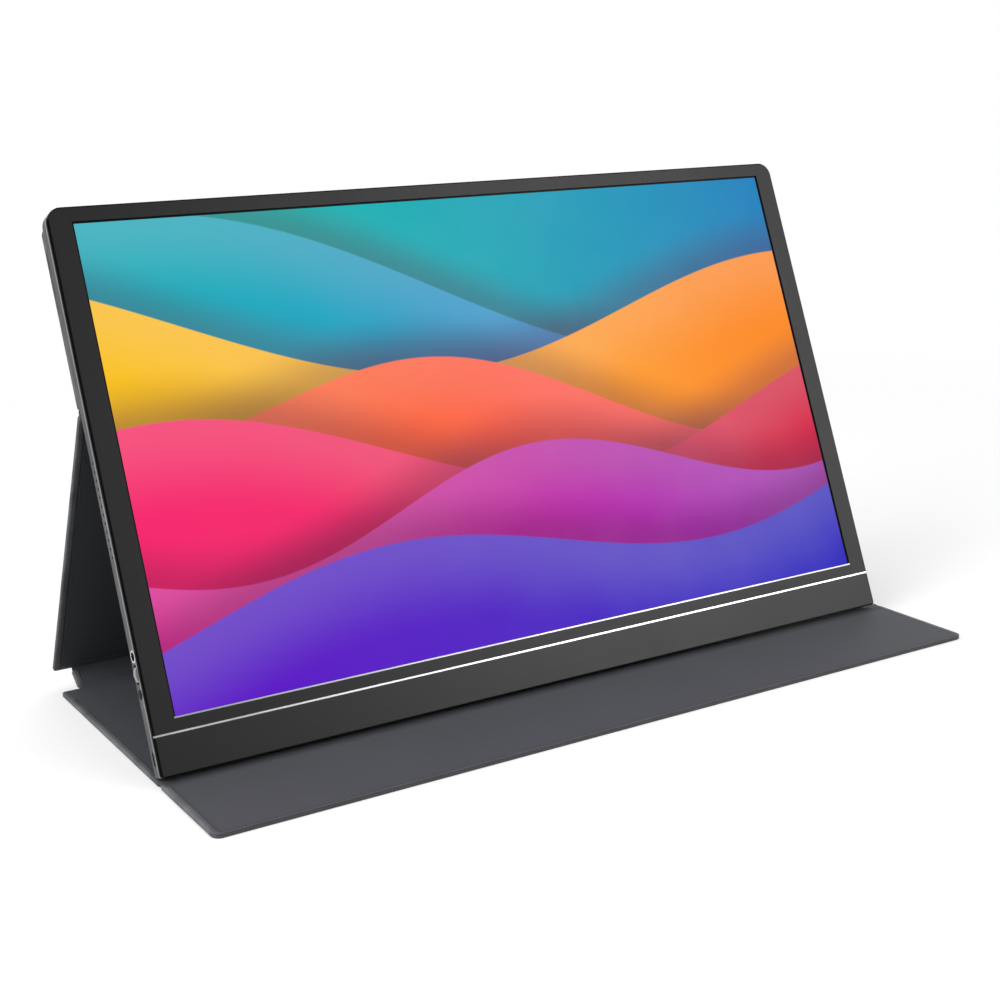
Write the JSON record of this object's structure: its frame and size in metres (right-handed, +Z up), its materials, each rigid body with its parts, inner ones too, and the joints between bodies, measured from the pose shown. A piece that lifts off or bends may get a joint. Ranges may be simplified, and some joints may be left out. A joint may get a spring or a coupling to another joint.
{
  "type": "portable monitor with cover",
  "caption": "Slim flat-screen monitor leaning on its folding leather-look folio cover, with side sockets, a power button and a rocker.",
  "frame": {"origin": "on the table plane, at the middle of the screen's width, under the line where the monitor's rear bottom edge stands on the cover", "axes": "+X to the right across the screen as the viewer sees it, +Y away from the viewer, +Z up"},
  "size_m": [0.3717, 0.1831, 0.2127],
  "materials": {
    "bezel_black": "satin black moulded plastic",
    "chin_grey": "fine-grained dark grey moulded plastic",
    "bright_trim": "polished edge line",
    "screen_glass": "glossy lit display surface",
    "film_white": "translucent diffusing film",
    "guide_clear": "clear acrylic",
    "reflector_white": "white reflecting film",
    "lamp_strip": "narrow strip with small lamps",
    "tray_metal": "plain pressed sheet",
    "board_green": "solder-masked glass-fibre laminate",
    "ribbon_amber": "flexible printed ribbon",
    "chip_black": "moulded chip package",
    "shield_tin": "tinned sheet",
    "socket_steel": "plated sheet",
    "jack_black": "moulded plastic",
    "ring_silver": "bright plated ring",
    "speaker_black": "moulded speaker box",
    "switch_black": "moulded switch body",
    "screw_steel": "plated steel",
    "screw_dark": "black-coated steel",
    "plate_steel": "plain steel sheet",
    "shell_grey": "satin dark metallic grey",
    "button_black": "satin plastic",
    "rocker_grey": "satin metallic grey",
    "cover_leather": "fine-grained dark grey leather-look skin",
    "cover_board": "stiff grey board",
    "lining_dark": "smooth dark lining with a soft nap",
    "magnet_nickel": "nickel-plated magnet"
  },
  "bodies": {
    "front_cover": {"base_skin": "cover_leather", "base_board": "cover_board", "base_lining": "lining_dark", "spine_fold_strip": "cover_leather", "flap_fold_strip": "cover_leather"},
    "front_flap": {"flap_skin": "cover_leather", "flap_board": "cover_board", "flap_lining": "lining_dark"},
    "spine": {"spine_skin": "cover_leather", "spine_board": "cover_board", "spine_lining": "lining_dark", "leg_fold_strip": "cover_leather"},
    "leg": {"leg_skin": "cover_leather", "leg_board": "cover_board", "leg_lining": "lining_dark", "middle_fold_strip": "cover_leather"},
    "back_panel": {"back_skin": "cover_leather", "back_board": "cover_board", "back_lining": "lining_dark", "cover_magnets": "magnet_nickel"},
    "monitor": {"bezel_frame": "bezel_black", "chin_panel": "chin_grey", "chin_trim": "bright_trim", "picture_trim": "bright_trim", "display_cell": "screen_glass", "diffuser_films": "film_white", "light_guide": "guide_clear", "reflector_sheet": "reflector_white", "led_strip": "lamp_strip", "display_tray": "tray_metal", "driver_board": "board_green", "driver_ribbon": "ribbon_amber", "main_board": "board_green", "picture_chip": "chip_black", "shield_cover": "shield_tin", "usb_c_socket_upper": "socket_steel", "usb_c_socket_lower": "socket_steel", "mini_video_socket": "socket_steel", "audio_jack": "jack_black", "jack_ring": "ring_silver", "speaker_left": "speaker_black", "speaker_right": "speaker_black", "control_board": "board_green", "control_ribbon": "ribbon_amber", "power_switch": "switch_black", "rocker_switch": "switch_black", "board_screws": "screw_steel", "case_screws": "screw_dark", "holding_plates": "plate_steel", "rear_shell": "shell_grey"},
    "power_button": {"power_button": "button_black"},
    "rocker": {"rocker": "rocker_grey"}
  },
  "joints": [
    {"name": "flap_fold", "type": "hinge", "parent": "front_cover", "child": "front_flap", "pos_m": [0, -0.004, 0.0011], "axis": [-1, 0, 0], "range_deg": [0, 30]},
    {"name": "spine_fold", "type": "hinge", "parent": "front_cover", "child": "spine", "pos_m": [0, 0.11506, 0.0011], "axis": [-1, 0, 0], "range_deg": [0, 35]},
    {"name": "leg_fold", "type": "hinge", "parent": "spine", "child": "leg", "pos_m": [0, 0.12489, 0.00798], "axis": [-1, 0, 0], "range_deg": [0, 22.9]},
    {"name": "middle_fold", "type": "hinge", "parent": "leg", "child": "back_panel", "pos_m": [0, 0.05524, 0.13516], "axis": [1, 0, 0], "range_deg": [0, 50.4]},
    {"name": "monitor_lift", "type": "slide", "parent": "back_panel", "child": "monitor", "axis": [0, 0.3746, 0.9272], "range_m": [0, 0.09]},
    {"name": "power_button_press", "type": "slide", "parent": "monitor", "child": "power_button", "axis": [1, 0, 0], "range_m": [0, 0.0006], "stiffness_N_per_m": 900, "springref_m": -0.0005},
    {"name": "rocker_tip", "type": "hinge", "parent": "monitor", "child": "rocker", "pos_m": [-0.1767, 0.01167, 0.04092], "axis": [0, 0.9272, -0.3746], "range_deg": [-5, 5], "stiffness_Nm_per_rad": 0.05}
  ],
  "couplings": [
    {"joint": "middle_fold", "follows": "leg_fold", "ratio": 2.2}
  ]
}
